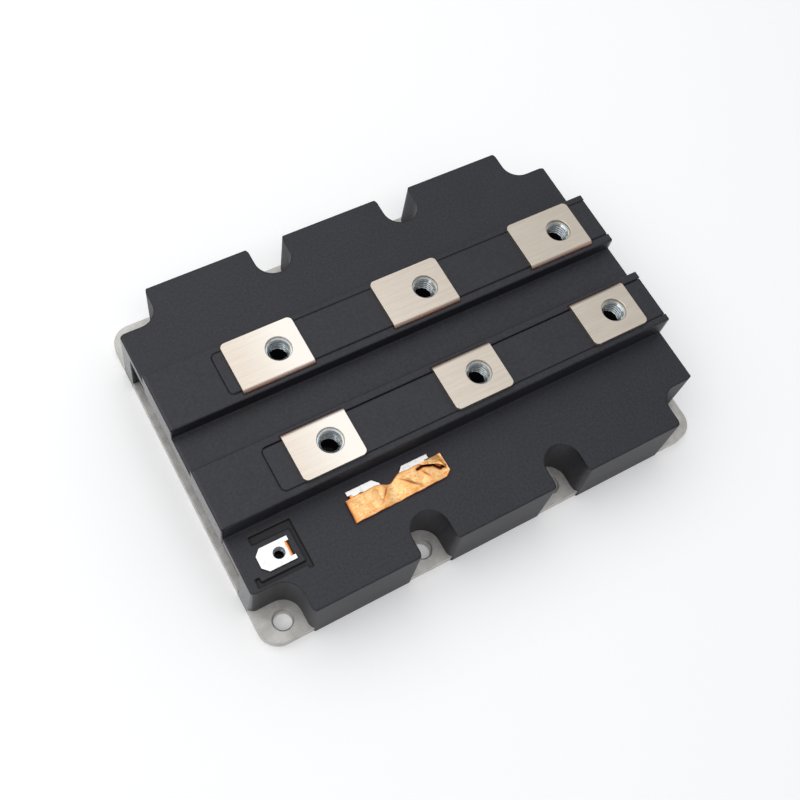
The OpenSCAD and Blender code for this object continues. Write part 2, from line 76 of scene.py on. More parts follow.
class Value:
    """A number socket of a node tree, so that node maths reads as Python."""

    def __init__(self, tree: bpy.types.NodeTree, socket: bpy.types.NodeSocket) -> None:
        """Keeps the tree and the socket.

        Args:
            tree: the tree that new Math nodes go into.
            socket: the output that carries the number.
        """
        self.tree = tree
        self.socket = socket

    def _math(self, operation: str, *terms: Value | float) -> Value:
        """Adds one Math node.

        Args:
            operation: the node's operation.
            terms: its inputs, in order.

        Returns:
            The node's result.
        """
        node = add_node(self.tree, "ShaderNodeMath", {"operation": operation}, terms)
        return Value(self.tree, node.outputs[0])

    def __add__(self, other: Value | float) -> Value:
        """Sum."""
        return self._math("ADD", self, other)

    __radd__ = __add__

    def __sub__(self, other: Value | float) -> Value:
        """Difference."""
        return self._math("SUBTRACT", self, other)

    def __rsub__(self, other: Value | float) -> Value:
        """Difference, reflected."""
        return self._math("SUBTRACT", other, self)

    def __mul__(self, other: Value | float) -> Value:
        """Product."""
        return self._math("MULTIPLY", self, other)

    __rmul__ = __mul__

    def __truediv__(self, other: Value | float) -> Value:
        """Quotient."""
        return self._math("DIVIDE", self, other)

    def __pow__(self, other: Value | float) -> Value:
        """Power."""
        return self._math("POWER", self, other)

    def __abs__(self) -> Value:
        """Distance from zero."""
        return self._math("ABSOLUTE", self)

    def largest(self, other: Value | float) -> Value:
        """The larger of two numbers."""
        return self._math("MAXIMUM", self, other)

    def smallest(self, other: Value | float) -> Value:
        """The smaller of two numbers."""
        return self._math("MINIMUM", self, other)

    def fraction(self) -> Value:
        """What is left after the whole number."""
        return self._math("FRACT", self)

    def step(self, low: float, high: float) -> Value:
        """Rises smoothly from 0 at low to 1 at high.

        Args:
            low: where the rise starts.
            high: where it ends; below low, the result falls instead.

        Returns:
            The smooth step.
        """
        if low > high:
            return 1.0 - self.step(high, low)
        settings = {"interpolation_type": "SMOOTHSTEP"}
        inputs = {0: self, 1: low, 2: high, 3: 0.0, 4: 1.0}
        return Value(self.tree, add_node(self.tree, "ShaderNodeMapRange", settings, inputs).outputs[0])


def add_node(
    tree: bpy.types.NodeTree,
    kind: str,
    settings: dict[str, Any] | None = None,
    inputs: Sequence[Any] | dict[int | str, Any] = (),
) -> bpy.types.Node:
    """Adds a node, sets it up and links or sets its inputs.

    Args:
        tree: the tree it goes into.
        kind: the node's type.
        settings: the node's own properties, set first.
        inputs: its sockets, by place or by name; a Value or a socket is linked, the rest is set.

    Returns:
        The node.
    """
    node = tree.nodes.new(kind)
    for name, value in (settings or {}).items():
        setattr(node, name, value)
    pairs = inputs.items() if isinstance(inputs, dict) else enumerate(inputs)
    for key, value in pairs:
        if isinstance(value, Value):
            value = value.socket
        if isinstance(value, bpy.types.NodeSocket):
            tree.links.new(value, node.inputs[key])
        elif isinstance(value, tuple) and len(value) == 3 and node.inputs[key].type == "RGBA":
            node.inputs[key].default_value = (*value, 1.0)
        else:
            node.inputs[key].default_value = value
    return node


class Paint:
    """One material's node tree, with the few patterns that the finishes share."""

    def __init__(self, name: str) -> None:
        """Starts an empty material.

        Args:
            name: the material's name.
        """
        self.material = bpy.data.materials.new(name)
        self.material.use_nodes = True
        self.tree = self.material.node_tree
        self.tree.nodes.clear()
        place = self.node("ShaderNodeTexCoord").outputs["Object"]
        settings, inputs = {"operation": "SCALE"}, {0: place, "Scale": 1 / MM}
        self.place = self.node("ShaderNodeVectorMath", settings, inputs).outputs[0]

    def node(self, kind: str, settings: dict[str, Any] | None = None, inputs: Any = ()) -> bpy.types.Node:
        """Adds a node to this material; see add_node."""
        return add_node(self.tree, kind, settings, inputs)

    def axes(self) -> tuple[Value, Value, Value]:
        """The place on the piece in millimetres, as three numbers."""
        split = self.node("ShaderNodeSeparateXYZ", None, [self.place])
        return tuple(Value(self.tree, out) for out in split.outputs)

    def stretched(self, x: float, y: float, z: float) -> bpy.types.NodeSocket:
        """The place in millimetres, scaled along each axis."""
        settings, inputs = {"operation": "MULTIPLY"}, [self.place, (x, y, z)]
        return self.node("ShaderNodeVectorMath", settings, inputs).outputs[0]

    def speckle(
        self,
        scale: float,
        detail: float = 3.0,
        rough: float = 0.5,
        where: bpy.types.NodeSocket | None = None,
    ) -> Value:
        """Fractal noise from 0 to 1.

        Args:
            scale: features for each millimetre.
            detail: octaves.
            rough: how strong the fine octaves are.
            where: the coordinates, or the place in millimetres.

        Returns:
            The noise.
        """
        inputs = {"Vector": where or self.place, "Scale": scale, "Detail": detail, "Roughness": rough}
        return Value(self.tree, self.node("ShaderNodeTexNoise", None, inputs).outputs[0])

    def painted(self, name: str) -> Value:
        """A number that the mesh carries at its points."""
        return Value(self.tree, self.node("ShaderNodeAttribute", {"attribute_name": name}).outputs["Fac"])

    def cells(self, scale: float) -> Value:
        """Distance from the nearest of scattered points, so many for each millimetre."""
        node = self.node("ShaderNodeTexVoronoi", None, {"Vector": self.place, "Scale": scale})
        return Value(self.tree, node.outputs[0])

    def blend(self, factor: Value, low: Any, high: Any) -> bpy.types.NodeSocket:
        """Mixes two colours.

        Args:
            factor: 0 gives low, 1 gives high.
            low: a colour or a socket.
            high: a colour or a socket.

        Returns:
            The mixed colour.
        """
        node = self.node("ShaderNodeMix", {"data_type": "RGBA"}, {0: factor, 6: low, 7: high})
        return node.outputs[2]

    def relief(self, height: Value | None, depth: float, edge: float) -> bpy.types.NodeSocket | None:
        """A normal with small rounded edges and a fine relief.

        Args:
            height: the relief, from 0 to 1, or nothing.
            depth: its depth in millimetres.
            edge: the radius of the rounded edges in millimetres, or 0.

        Returns:
            The normal, or nothing if neither is asked for.
        """
        normal = None
        if edge:
            normal = self.node("ShaderNodeBevel", {"samples": 6}, {"Radius": edge * MM}).outputs[0]
        if height is not None:
            inputs = {"Strength": 1.0, "Distance": depth * MM, "Height": height}
            if normal is not None:
                inputs["Normal"] = normal
            normal = self.node("ShaderNodeBump", None, inputs).outputs[0]
        return normal

    def surface(
        self,
        colour: Any,
        rough: Value | float,
        metal: Value | float = 0.0,
        normal: bpy.types.NodeSocket | None = None,
        **fixed: float,
    ) -> bpy.types.Material:
        """Ends the tree in one surface shader.

        Args:
            colour: the base colour, fixed or a socket.
            rough: the roughness.
            metal: how metallic it is.
            normal: the surface's normal.
            fixed: further sockets by name, with underscores for spaces.

        Returns:
            The material.
        """
        inputs = {"Base Color": colour, "Roughness": rough, "Metallic": metal}
        inputs.update({name.replace("_", " "): value for name, value in fixed.items()})
        if normal is not None:
            inputs["Normal"] = normal
        shader = self.node("ShaderNodeBsdfPrincipled", None, inputs)
        self.node("ShaderNodeOutputMaterial", None, [shader.outputs[0]])
        return self.material


# ---- finishes ----------------------------------------------------------------------------


class Slot(Enum):
    """The record's material slots."""

    PLATE = "plate"
    HOUSING = "housing_plastic"
    BAR = "bar_plastic"
    NICKEL = "nickel"
    ZINC = "zinc"
    TIN = "tin"
    FOIL = "copper_foil"
    CERAMIC = "ceramic"
    SILICON = "silicon"
    BOARD = "circuit_board"
    PINS = "pin_metal"
    GEL = "gel"
    SCREWS = "screw_steel"


@dataclass(frozen=True)
class MouldedPlastic:
    """Glass-filled plastic: matte with a fine mould grain, smoother on the drawn end walls, with painted
    shade on the decks' edge and in the seat's grooves where asked.
    """

    slot: Slot
    dark: Colour = (0.0085, 0.0088, 0.0135)
    light: Colour = (0.0205, 0.0212, 0.0295)
    fibre: Colour = (0.07, 0.07, 0.076)
    # Colour of the painted shade on the decks' edge and in the seat's grooves
    painted_shade: Colour = (0.003, 0.003, 0.004)
    rough: float = 0.54
    # How much smoother the end walls are, and how far they stand from the middle
    polish: float = 0.30
    end_wall: float = 94.1
    # Features for each millimetre of grain, cloud and flow, and their shares of the tone
    scales: tuple[float, float, float] = (3.2, 1.0, 0.05)
    shares: tuple[float, float, float] = (0.30, 0.50, 0.20)
    # Depth of the grain and radius of the edges
    grain: float = 0.06
    edge: float = 1.0
    # Heights between which painted shade lies along the decks' edge, its fade below and above, and its
    # strength
    brow: tuple[float, float] | None = None
    brow_fade: tuple[float, float] = (1.6, 0.6)
    brow_shade: float = 0.55
    # Middle and height of the open signal seat, half its width with the grooves round it, the
    # depths between which painted shade lies in the grooves, and how strong it is
    seat: tuple[float, float, float] | None = None
    seat_reach: float = 10.5
    seat_depths: tuple[float, float] = (0.15, 0.6)
    seat_shade: float = 0.8

    def material(self) -> bpy.types.Material:
        """Builds the finish.

        Returns:
            The material.
        """
        paint = Paint(self.slot.value)
        grain = paint.speckle(self.scales[0], 3.0, 0.62)
        cloud = paint.speckle(self.scales[1], 2.0, 0.6)
        flow = paint.speckle(self.scales[2], 3.0, 0.55)
        strands = paint.speckle(1.0, 2.0, 0.6, paint.stretched(0.8, 5.0, 5.0))
        tone = grain * self.shares[0] + cloud * self.shares[1] + flow * self.shares[2]
        colour = paint.blend(tone.step(0.36, 0.64), self.dark, self.light)
        colour = paint.blend(strands.step(0.70, 0.80) * 0.10, colour, self.fibre)
        along, _, _ = paint.axes()
        drawn = abs(along).step(self.end_wall - 0.8, self.end_wall)
        rough = self.rough + (grain - 0.5) * 0.12 + (flow - 0.5) * 0.10 - drawn * self.polish
        normal = paint.relief(grain * 0.5 + cloud * 0.5, self.grain, self.edge)
        return paint.surface(self.shaded(paint, colour), rough, 0.0, normal, Specular_IOR_Level=0.5)

    def shaded(self, paint: Paint, colour: bpy.types.NodeSocket) -> bpy.types.NodeSocket:
        """Paints shade on the decks' edge and in the grooves round the sense terminal's seat.

        Args:
            paint: the material that is being made.
            colour: the plastic's colour.

        Returns:
            The colour with painted shade on the edge and in the grooves.
        """
        along, across, height = paint.axes()
        # Painted shade along the decks' edge
        if self.brow:
            low, high = self.brow
            below, above = self.brow_fade
            band = height.step(low - below, low) * height.step(high, high - above)
            colour = paint.blend(band * self.brow_shade, colour, self.painted_shade)
        # Painted shade in the grooves round the seat
        if self.seat:
            middle_x, middle_y, top = self.seat
            shallow, deep = self.seat_depths
            near_x = abs(along - middle_x).step(self.seat_reach, self.seat_reach - 0.2)
            near_y = abs(across - middle_y).step(self.seat_reach, self.seat_reach - 0.2)
            sunk = height.step(top - shallow, top - deep)
            colour = paint.blend(near_x * near_y * sunk * self.seat_shade, colour, self.painted_shade)
        return colour


@dataclass(frozen=True)
class BrushedNickel:
    """Nickel-plated copper sheet, brushed along the row, warm where the plating is thin, with a painted
    highlight on the left tabs.
    """

    slot: Slot = Slot.NICKEL
    plate: Colour = (0.615, 0.537, 0.448)
    bright: Colour = (0.745, 0.676, 0.592)
    # Colour of the painted highlight on the left tabs
    highlight_colour: Colour = (1.0, 0.97, 0.93)
    copper: Colour = (0.92, 0.50, 0.33)
    # Height of the tabs' upper faces, and their thickness
    top: float = 38.0
    sheet: float = 1.5
    # The bends lie within this distance of the line midway between the rows
    fold_reach: float = 12.5
    # Where the painted highlight on the left tabs sets in and ends, and how strong it is
    shine_rise: tuple[float, float] = (-66.0, -38.0)
    shine_fall: tuple[float, float] = (-4.0, -36.0)
    shine: float = 0.55

    def material(self) -> bpy.types.Material:
        """Builds the finish.

        Returns:
            The material.
        """
        paint = Paint(self.slot.value)
        along, across, height = paint.axes()
        coarse = paint.speckle(1.0, 3.0, 0.65, paint.stretched(0.035, 1.7, 1.7))
        fine = paint.speckle(1.0, 4.0, 0.7, paint.stretched(0.12, 9.0, 9.0))
        stain = paint.speckle(0.16, 3.0, 0.5)
        streak = coarse * 0.35 + fine * 0.65
        colour = paint.blend(streak.step(0.34, 0.66), self.plate, self.bright)
        # Painted highlight on the left tabs
        shine = along.step(*self.shine_rise) * along.step(*self.shine_fall)
        colour = paint.blend(shine * self.shine, colour, self.highlight_colour)
        bend = height.step(self.top - 0.12, self.top - 0.9)
        bend = bend * abs(across).step(self.fold_reach, self.fold_reach - 0.5)
        thin = bend * (0.55 + stain.step(0.45, 0.62) * 0.4)
        below = height.step(self.top - self.sheet - 0.2, self.top - self.sheet - 1.2)
        colour = paint.blend(thin.smallest(1.0 - below), colour, self.copper)
        rough = 0.40 + (fine - 0.5) * 0.22 + (coarse - 0.5) * 0.10 + (stain - 0.5) * 0.06
        return paint.surface(colour, rough, 1.0, paint.relief(streak, 0.004, 0.16))


@dataclass(frozen=True)
class TinPlate:
    """Bright tin on the small signal tabs, with bare copper on the outside of the bend."""

    folds: tuple[tuple[float, float], ...]
    slot: Slot = Slot.TIN
    tin: Colour = (0.80, 0.795, 0.775)
    dull: Colour = (0.60, 0.61, 0.61)
    copper: Colour = (0.93, 0.30, 0.075)
    # Half the width of the bare band, half the width of the leg, and the height of the bend
    band: float = 0.62
    leg_half: float = 2.75
    bend_height: float = 27.0

    def material(self) -> bpy.types.Material:
        """Builds the finish.

        Returns:
            The material.
        """
        paint = Paint(self.slot.value)
        along, across, height = paint.axes()
        stain = paint.speckle(0.7, 3.0, 0.6)
        scratch = paint.speckle(1.0, 3.0, 0.7, paint.stretched(0.25, 5.0, 5.0))
        colour = paint.blend(stain.step(0.48, 0.70) * 0.7, self.tin, self.dull)
        bare = None
        for fold_x, fold_y in self.folds:
            near = abs(along - fold_x).step(self.band, self.band - 0.18)
            near = near * abs(across - fold_y).step(self.leg_half + 0.05, self.leg_half)
            bare = near if bare is None else bare.largest(near)
        bare = bare * stain.step(0.22, 0.36) * height.step(self.bend_height - 1.0, self.bend_height)
        colour = paint.blend(bare, colour, self.copper)
        rough = 0.30 + (scratch - 0.5) * 0.20 + stain * 0.10
        return paint.surface(colour, rough, 1.0, paint.relief(scratch, 0.004, 0.10))


@dataclass(frozen=True)
class BlueZinc:
    """Zinc with a blue passivation, faintly iridescent, with painted shade in the thread's grooves."""

    slot: Slot = Slot.ZINC
    blue: Colour = (0.56, 0.62, 0.66)
    straw: Colour = (0.76, 0.78, 0.72)
    # Colour of the painted shade in the thread's grooves
    shade: Colour = (0.045, 0.050, 0.055)

    def material(self) -> bpy.types.Material:
        """Builds the finish.

        Returns:
            The material.
        """
        paint = Paint(self.slot.value)
        film = paint.speckle(0.35, 2.0, 0.5)
        grit = paint.speckle(4.0, 3.0, 0.6)
        groove = paint.painted(GROOVE_SHADE)
        colour = paint.blend(film.step(0.46, 0.66) * 0.8, self.blue, self.straw)
        # Painted shade in the thread's grooves
        colour = paint.blend(groove * 0.88, colour, self.shade)
        rough = 0.12 + grit * 0.12 + groove * 0.15
        return paint.surface(colour, rough, 1.0, paint.relief(grit, 0.006, 0.08))


@dataclass(frozen=True)
class CreasedCopper:
    """Thin copper foil, lightly tarnished, with dents and rusty specks, darker along its creases, with
    painted shade along its long edges and painted shadow along the flap's torn edge.
    """

    slot: Slot = Slot.FOIL
    clean: Colour = (0.90, 0.43, 0.125)
    pale: Colour = (1.00, 0.70, 0.350)
    # Rust red for specks and wrinkles, and for darker creases and painted shade along the long edges
    rust_and_shade_red: Colour = (0.76, 0.235, 0.055)
    # Dark brown for dents, and for darker creases and painted shade along the long edges
    burnt_and_shade_brown: Colour = (0.36, 0.100, 0.030)
    # Painted shadow along the flap's torn edge
    flap_shadow: Colour = (0.030, 0.010, 0.006)
    metal: float = 0.92
    relief: float = 0.05

    def material(self) -> bpy.types.Material:
        """Builds the finish.

        Returns:
            The material.
        """
        paint = Paint(self.slot.value)
        patch = paint.speckle(0.35, 3.0, 0.6)
        grit = paint.speckle(3.4, 3.0, 0.7)
        streak = paint.speckle(1.0, 3.0, 0.65, paint.stretched(0.22, 4.0, 4.0))
        dents = paint.cells(0.8).step(0.20, 0.08) * paint.speckle(0.4, 1.0, 0.5).step(0.54, 0.60)
        wrinkle = abs(patch - 0.5).step(0.012, 0.0) * paint.speckle(0.2, 1.0, 0.5).step(0.44, 0.56)
        blots = paint.speckle(1.1, 2.0, 0.6).step(0.56, 0.66) * 0.6
        # Painted shade along the long edges, darker creases, and painted shadow along the flap's torn edge
        crease = paint.painted(SHADE_AND_CREASES)
        colour = paint.blend((patch * 0.4 + streak * 0.6).step(0.38, 0.60), self.clean, self.pale)
        # Specks and wrinkles, and painted shade along the long edges and darker creases
        rust_and_shade = blots.largest(wrinkle * 0.4).largest(crease * (0.8 + streak * 0.8))
        colour = paint.blend(rust_and_shade.smallest(1.0), colour, self.rust_and_shade_red)
        # Dents, and painted shade along the long edges and darker creases
        burnt_and_shade = (dents * 0.6).largest(crease.step(0.35, 0.75) * 0.8)
        colour = paint.blend(burnt_and_shade, colour, self.burnt_and_shade_brown)
        # Painted shadow along the flap's torn edge
        colour = paint.blend(crease.step(0.76, 0.90), colour, self.flap_shadow)
        rough = 0.36 + grit * 0.20
        height = streak * 0.2 + patch * 0.3 - wrinkle * 0.3 - dents * 0.25
        return paint.surface(colour, rough, self.metal, paint.relief(height, self.relief, 0.0))


@dataclass(frozen=True)
class MachinedPlate:
    """Metal-matrix base plate: cast, skimmed and nickel flashed, warm grey."""

    slot: Slot = Slot.PLATE
    dark: Colour = (0.46, 0.445, 0.42)
    light: Colour = (0.66, 0.64, 0.61)

    def material(self) -> bpy.types.Material:
        """Builds the finish.

        Returns:
            The material.
        """
        paint = Paint(self.slot.value)
        cloud = paint.speckle(0.22, 4.0, 0.6)
        grit = paint.speckle(4.5, 3.0, 0.65)
        colour = paint.blend((cloud * 0.55 + grit * 0.45).step(0.34, 0.66), self.dark, self.light)
        rough = 0.42 + grit * 0.2 + (cloud - 0.5) * 0.1
        return paint.surface(colour, rough, 0.75, paint.relief(grit, 0.01, 0.25))


@dataclass(frozen=True)
class PlainFinish:
    """A hidden piece's finish: two close tones of one colour, with a fine relief."""

    slot: Slot
    dark: Colour
    light: Colour
    rough: float
    metal: float = 0.0
    scale: float = 0.8
    depth: float = 0.01
    alpha: float = 1.0

    def material(self) -> bpy.types.Material:
        """Builds the finish.

        Returns:
            The material.
        """
        paint = Paint(self.slot.value)
        tone = paint.speckle(self.scale, 4.0, 0.6)
        colour = paint.blend(tone.step(0.35, 0.65), self.dark, self.light)
        rough = self.rough + (tone - 0.5) * 0.15
        normal = paint.relief(tone, self.depth, 0.0)
        return paint.surface(colour, rough, self.metal, normal, Alpha=self.alpha)


HIDDEN_FINISHES = (
    PlainFinish(Slot.CERAMIC, (0.72, 0.72, 0.68), (0.84, 0.84, 0.80), rough=0.35),
    PlainFinish(Slot.SILICON, (0.12, 0.13, 0.16), (0.20, 0.22, 0.27), rough=0.18, metal=0.4),
    PlainFinish(Slot.BOARD, (0.03, 0.16, 0.07), (0.05, 0.26, 0.12), rough=0.38),
    PlainFinish(Slot.PINS, (0.62, 0.48, 0.20), (0.80, 0.66, 0.35), rough=0.30, metal=1.0, scale=2.0),
    PlainFinish(
        Slot.GEL, (0.74, 0.80, 0.83), (0.84, 0.88, 0.90), rough=0.12, scale=0.1, depth=0.0, alpha=0.5
    ),
    PlainFinish(Slot.SCREWS, (0.36, 0.37, 0.39), (0.56, 0.57, 0.60), rough=0.34, metal=1.0, scale=2.0),
)


def dress(nodes: Iterable[str], material: bpy.types.Material) -> None:
    """Gives CAD nodes a finish.

    Args:
        nodes: their names.
        material: the finish.
    """
    for name in nodes:
        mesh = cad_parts[name].data
        mesh.materials.clear()
        mesh.materials.append(material)
        LOG.info("%s: %s", name, material.name)


def adopt(
    name: str, mesh: bpy.types.Mesh, material: bpy.types.Material, stands_for: str
) -> bpy.types.Object:
    """Turns a finished mesh into a piece that stands for a CAD node.

    Args:
        name: the piece's name.
        mesh: the mesh, in the frame's own place.
        material: its finish.
        stands_for: the CAD node that it replaces.

    Returns:
        The piece.
    """
    mesh.materials.clear()
    mesh.materials.append(material)
    piece = bpy.data.objects.new(name, mesh)
    bpy.context.scene.collection.objects.link(piece)
    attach(piece, BODY)
    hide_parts(stands_for)
    LOG.info("%s: %d faces, replaces %s", name, len(mesh.polygons), stands_for)
    return piece


def baked(name: str, mesh: bpy.types.Mesh, modify: Callable[[bpy.types.Object], None]) -> bpy.types.Mesh:
    """Applies a modifier to a mesh.

    Args:
        name: the name of the object that holds the mesh meanwhile.
        mesh: the mesh.
        modify: adds the modifier to the object.

    Returns:
        The modified mesh.
    """
    blank = bpy.data.objects.new(name, mesh)
    bpy.context.scene.collection.objects.link(blank)
    modify(blank)
    bpy.context.view_layer.update()
    done = bpy.data.meshes.new_from_object(blank.evaluated_get(bpy.context.evaluated_depsgraph_get()))
    blank.modifiers.clear()
    bpy.data.objects.remove(blank)
    return done


# ---- threads -----------------------------------------------------------------------------


@dataclass
class ThreadCutter:
    """Geometry Nodes that turn a nut's plain bore into a thread, and store the painted shade for its
    grooves.

    A point of the bore moves out to the thread's surface, whose radius follows a helix: the
    phase is the height in pitches less the angle in turns.
    """

    tree: bpy.types.NodeTree = field(init=False)
    crest_share: float = 0.16
    root_share: float = 0.22
    # How much painted shade the crests get, and the radii in crest radii between which the painted shade
    # fades out
    crest_shade: float = 0.2
    shade_fade: tuple[float, float] = (1.12, 1.02)
    # Turns that keep the phase above zero
    spare_turns: float = 100.0

    def __post_init__(self) -> None:
        """Builds the tree once; every nut uses it with its own inputs."""
        self.tree = bpy.data.node_groups.new("cut_thread", "GeometryNodeTree")
        face = self.tree.interface
        face.new_socket("Geometry", in_out="INPUT", socket_type="NodeSocketGeometry")
        for name in ("Crest radius", "Depth", "Pitch"):
            face.new_socket(name, in_out="INPUT", socket_type="NodeSocketFloat")
        face.new_socket("Centre", in_out="INPUT", socket_type="NodeSocketVector")
        face.new_socket("Finish", in_out="INPUT", socket_type="NodeSocketMaterial")
        face.new_socket("Geometry", in_out="OUTPUT", socket_type="NodeSocketGeometry")
        entry = self._node("NodeGroupInput").outputs
        crest, depth, pitch = (Value(self.tree, entry[name]) for name in ("Crest radius", "Depth", "Pitch"))
        place = self._node("GeometryNodeInputPosition").outputs[0]
        offset = self._node("ShaderNodeVectorMath", {"operation": "SUBTRACT"}, [place, entry["Centre"]])
        split = self._node("ShaderNodeSeparateXYZ", None, [offset.outputs[0]])
        x, y, z = (Value(self.tree, out) for out in split.outputs)
        turn = Value(self.tree, self._node("ShaderNodeMath", {"operation": "ARCTAN2"}, [y, x]).outputs[0])
        phase = (z / pitch - turn / math.tau + self.spare_turns).fraction()
        rise = abs(phase * 2.0 - 1.0)
        wave = (rise - self.crest_share) / (1.0 - self.crest_share - self.root_share)
        wave = wave.largest(0.0).smallest(1.0)
        radius = (x * x + y * y) ** 0.5
        grown = radius.largest(crest + depth * wave) / radius
        moved = self._node("ShaderNodeCombineXYZ", None, [x * grown, y * grown, z]).outputs[0]
        target = self._node("ShaderNodeVectorMath", {"operation": "ADD"}, [moved, entry["Centre"]])
        settings = {"data_type": "BOOLEAN"}
        bore = self._node("GeometryNodeInputNamedAttribute", settings, {"Name": BORE}).outputs[0]
        # Painted shade for the grooves: full at the roots, faint on the crests, none beyond the bore
        shade = wave * (1.0 - self.crest_shade) + self.crest_shade
        shade = shade * (radius / crest).step(*self.shade_fade)
        settings = {"data_type": "FLOAT", "domain": "POINT"}
        inputs = {"Geometry": entry["Geometry"], "Selection": bore, "Name": GROOVE_SHADE, "Value": shade}
        shaded = self._node("GeometryNodeStoreNamedAttribute", settings, inputs).outputs[0]
        inputs = {"Geometry": shaded, "Selection": bore, "Position": target.outputs[0]}
        cut = self._node("GeometryNodeSetPosition", None, inputs).outputs[0]
        real = self._node("GeometryNodeRealizeInstances", None, [cut]).outputs[0]
        inputs = {"Geometry": real, "Material": entry["Finish"]}
        dressed = self._node("GeometryNodeSetMaterial", None, inputs).outputs[0]
        self._node("NodeGroupOutput", None, [dressed])

    def _node(self, kind: str, settings: dict[str, Any] | None = None, inputs: Any = ()) -> bpy.types.Node:
        """Adds a node to the tree; see add_node."""
        return add_node(self.tree, kind, settings, inputs)

    def cut(self, mesh: bpy.types.Mesh, sizes: dict[str, Any]) -> bpy.types.Mesh:
        """Cuts the thread into a nut.

        Args:
            mesh: the nut, whose bore points carry the attribute BORE.
            sizes: the tree's inputs by name.

        Returns:
            The threaded nut's mesh.
        """

        def add_thread(blank: bpy.types.Object) -> None:
            """Adds the tree with its inputs.

            Args:
                blank: the nut.
            """
            modifier = blank.modifiers.new("thread", "NODES")
            modifier.node_group = self.tree
            for item in self.tree.interface.items_tree:
                if item.in_out == "INPUT" and item.name in sizes:
                    modifier[item.identifier] = sizes[item.name]

        return baked("nut_blank", mesh, add_thread)


@dataclass
class ThreadedNut:
    """A hexagon nut with a real thread, in the place of a CAD nut. Sizes in millimetres."""

    node: str
    across_flats: float
    crest_r: float
    root_r: float
    pitch: float
    sink_r: float
    flats_along_x: bool = False
    segments: int = 72
    rings_per_turn: int = 12
    sharp_angle: float = 35.0

    def blank(self, centre: Vector, low: float, high: float) -> bpy.types.Mesh:
        """Makes the nut with a plain bore, as rings of points round its axis.

        Args:
            centre: a point on the axis.
            low: height of the lower face, in metres.
            high: height of the upper face, in metres.

        Returns:
            The mesh, with the attribute BORE on the points of the bore.
        """
        sink = (self.sink_r - self.crest_r) * MM
        count = round((high - low) / (self.pitch * MM) * self.rings_per_turn)
        profile: list[tuple[float | None, float, bool]] = [(None, low, False), (None, high, False)]
        for i in range(count + 1):
            height = high - (high - low) * i / count
            flare = max(0.0, sink - min(high - height, height - low))
            profile.append((self.crest_r * MM + flare, height, 0 < i < count))
        shape = bmesh.new()
        flags: list[bool] = []
        rings = []
        for radius, height, is_bore in profile:
            ring = []
            for k in range(self.segments):
                angle = math.tau * k / self.segments
                reach = radius if radius is not None else self.hexagon(angle)
                spot = (centre.x + reach * math.cos(angle), centre.y + reach * math.sin(angle), height)
                ring.append(shape.verts.new(spot))
                flags.append(is_bore)
            rings.append(ring)
        for a, b in zip(rings, rings[1:] + rings[:1]):
            for k in range(self.segments):
                j = (k + 1) % self.segments
                shape.faces.new((a[k], a[j], b[j], b[k]))
        bmesh.ops.recalc_face_normals(shape, faces=shape.faces[:])
        mesh = bpy.data.meshes.new(self.node)
        shape.to_mesh(mesh)
        shape.free()
        mesh.attributes.new(BORE, "BOOLEAN", "POINT").data.foreach_set("value", flags)
        return mesh

    def hexagon(self, angle: float) -> float:
        """Distance from the axis to the hexagon's side at an angle, in metres."""
        shift = 0.0 if self.flats_along_x else math.pi / 6
        from_flat = (angle + shift + math.pi / 6) % (math.pi / 3) - math.pi / 6
        return self.across_flats / 2 * MM / math.cos(from_flat)

    def build(self, cutter: ThreadCutter, material: bpy.types.Material) -> bpy.types.Object:
        """Makes the piece.

        Args:
            cutter: the tree that cuts the thread.
            material: the finish.

        Returns:
            The piece.
        """
        low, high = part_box(self.node)
        centre = (low + high) / 2
        centre.z = high.z
        sizes = {
            "Crest radius": self.crest_r * MM,
            "Depth": (self.root_r - self.crest_r) * MM,
            "Pitch": self.pitch * MM,
            "Centre": centre,
            "Finish": material,
        }
        mesh = cutter.cut(self.blank(centre, low.z, high.z), sizes)
        mesh.attributes.remove(mesh.attributes[BORE])
        mesh.shade_smooth()
        mesh.set_sharp_from_angle(angle=math.radians(self.sharp_angle))
        return adopt(f"{self.node}_threaded", mesh, material, self.node)


# ---- sub-assemblies ----------------------------------------------------------------------


@dataclass
class Enclosure:
    """Housing, nut bars and base plate."""

    bar: MouldedPlastic = MouldedPlastic(
        Slot.BAR, dark=(0.0085, 0.0088, 0.0130), light=(0.0195, 0.0202, 0.0280), rough=0.50
    )
    plate: MachinedPlate = MachinedPlate()
    # Heights of the painted shade along the decks' edge, and how far the open signal tab stands above its
    # seat
    brow: tuple[float, float] = (26.0, 26.9)
    tab_rise: float = 1.0

    def build(self) -> None:
        """Dresses the nodes."""
        low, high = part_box("collector_sense_tab")
        seat = ((low.x + high.x) / 2 / MM, (low.y + high.y) / 2 / MM, high.z / MM - self.tab_rise)
        dress(["housing"], MouldedPlastic(Slot.HOUSING, brow=self.brow, seat=seat).material())
        dress(["collector_nut_bar", "emitter_nut_bar"], self.bar.material())
        dress(["base_plate"], self.plate.material())


@dataclass
class PowerTerminals:
    """The six bent tabs and the M8 nuts under them."""

    rows: tuple[str, ...] = ("collector", "emitter")
    per_row: int = 3
    finish: BrushedNickel = BrushedNickel()
    across_flats: float = 13.0
    crest_r: float = 3.4
    root_r: float = 3.98
    pitch: float = 1.25
    sink_r: float = 4.35

    def build(self, cutter: ThreadCutter, zinc: bpy.types.Material) -> None:
        """Dresses the tabs and makes the nuts.

        Args:
            cutter: the tree that cuts the threads.
            zinc: the nuts' finish.
        """
        numbers = range(1, self.per_row + 1)
        dress([f"{row}_terminal_{i}" for row in self.rows for i in numbers], self.finish.material())
        for row in self.rows:
            for i in numbers:
                sizes = (self.across_flats, self.crest_r, self.root_r, self.pitch, self.sink_r)
                ThreadedNut(f"{row}_nut_{i}", *sizes).build(cutter, zinc)


